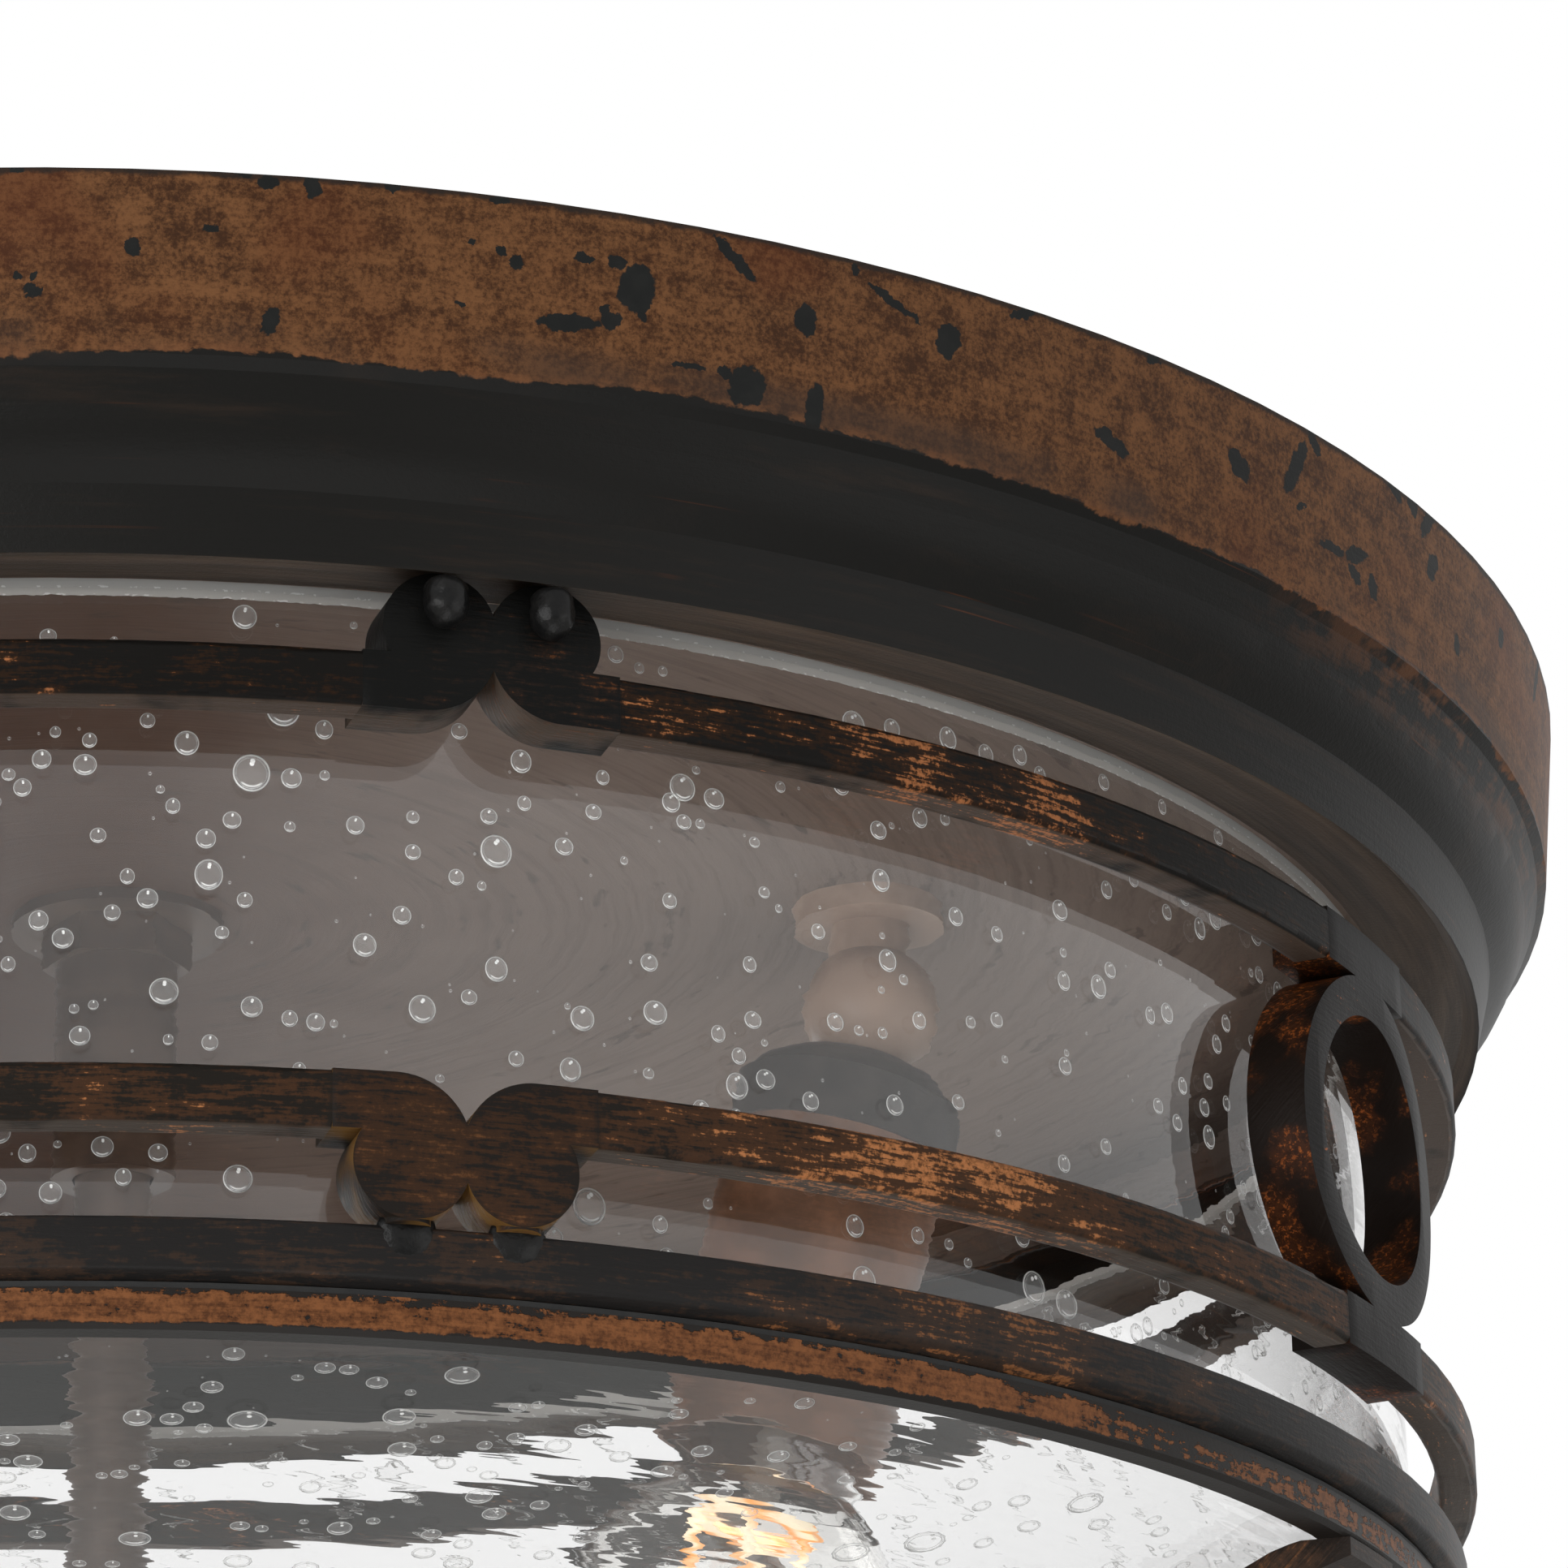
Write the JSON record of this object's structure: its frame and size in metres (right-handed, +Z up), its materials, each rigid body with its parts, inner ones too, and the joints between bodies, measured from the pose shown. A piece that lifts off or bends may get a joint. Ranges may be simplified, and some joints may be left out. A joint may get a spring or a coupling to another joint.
{
  "type": "ceiling light",
  "caption": "Round flush ceiling light: a seeded glass drum in a bronze cage of rails and rings under a spun canopy, with a glass dome door held by a finial.",
  "frame": {"origin": "centre of the two mounting screw slots, on the crossbar's top face, which lies on the ceiling plane", "axes": "+Z up into the ceiling along the light's axis, +X along the crossbar, -Y towards the viewer of the picture"},
  "size_m": [0.381, 0.381, 0.186],
  "materials": {
    "bronze_band": "oil rubbed bronze, brushed, copper brown and mottled on the band",
    "bronze_dark": "oil rubbed bronze, near black, edges rubbed to copper",
    "bronze_rubbed": "oil rubbed bronze, rubbed through to copper in patches",
    "bronze_trim": "oil rubbed bronze, dark brown, satin",
    "bronze_inside": "brushed metal, dull brown, satin",
    "insulation": "glass fibre wool",
    "zinc_steel": "zinc plated steel",
    "green_screw": "green dyed screw",
    "seeded_glass": "clear seeded glass, polished",
    "gasket": "black foam rubber",
    "porcelain": "white glazed porcelain",
    "brass": "drawn brass, satin",
    "clear_glass": "clear blown glass",
    "filament": "amber coated filament on a glass stalk"
  },
  "bodies": {
    "fixture": {"canopy": "bronze_band", "reflector_pan": "bronze_inside", "insulation_pad": "insulation", "crossbar": "zinc_steel", "ground_screw": "green_screw", "centre_rod": "bronze_trim", "lock_nut": "zinc_steel", "pan_washer": "zinc_steel", "pan_nut": "zinc_steel", "stem_sleeve": "bronze_trim", "glass_drum": "seeded_glass", "bottom_ring": "bronze_dark", "door_gasket": "gasket", "upper_rail_bars": "bronze_dark", "lower_rail_bars": "bronze_rubbed", "knot_pins": "bronze_dark", "upper_knot_1": "bronze_dark", "lower_knot_1": "bronze_dark", "medallion_1": "bronze_dark", "upper_knot_2": "bronze_dark", "lower_knot_2": "bronze_dark", "medallion_2": "bronze_dark", "upper_knot_3": "bronze_dark", "lower_knot_3": "bronze_dark", "medallion_3": "bronze_dark", "upper_knot_4": "bronze_dark", "lower_knot_4": "bronze_dark", "medallion_4": "bronze_dark", "socket_mount_1": "bronze_trim", "socket_cap_1": "bronze_trim", "socket_sleeve_1": "bronze_trim", "socket_core_1": "porcelain", "socket_shell_1": "brass", "socket_mount_2": "bronze_trim", "socket_cap_2": "bronze_trim", "socket_sleeve_2": "bronze_trim", "socket_core_2": "porcelain", "socket_shell_2": "brass", "socket_mount_3": "bronze_trim", "socket_cap_3": "bronze_trim", "socket_sleeve_3": "bronze_trim", "socket_core_3": "porcelain", "socket_shell_3": "brass"},
    "door": {"door_ring": "bronze_rubbed", "glass_dome": "seeded_glass", "cross_strap": "bronze_trim"},
    "finial": {"finial": "bronze_trim"},
    "bulb_1": {"bulb_cap_1": "brass", "bulb_glass_1": "clear_glass", "bulb_filament_1": "filament"},
    "bulb_2": {"bulb_cap_2": "brass", "bulb_glass_2": "clear_glass", "bulb_filament_2": "filament"},
    "bulb_3": {"bulb_cap_3": "brass", "bulb_glass_3": "clear_glass", "bulb_filament_3": "filament"}
  },
  "joints": [
    {"name": "door_drop", "type": "slide", "parent": "fixture", "child": "door", "axis": [0, 0, -1], "range_m": [0, 0.1]},
    {"name": "finial_turn", "type": "hinge", "parent": "door", "child": "finial", "pos_m": [0, 0, -0.165], "axis": [0, 0, 1], "continuous": true},
    {"name": "bulb_1_turn", "type": "hinge", "parent": "fixture", "child": "bulb_1", "pos_m": [0.09915, -0.01042, -0.0306], "axis": [0.2372, -0.0249, 0.9711], "continuous": true},
    {"name": "bulb_2_turn", "type": "hinge", "parent": "fixture", "child": "bulb_2", "pos_m": [-0.04055, 0.09108, -0.0306], "axis": [-0.097, 0.2179, 0.9711], "continuous": true},
    {"name": "bulb_3_turn", "type": "hinge", "parent": "fixture", "child": "bulb_3", "pos_m": [-0.0586, -0.08066, -0.0306], "axis": [-0.1402, -0.193, 0.9711], "continuous": true}
  ]
}
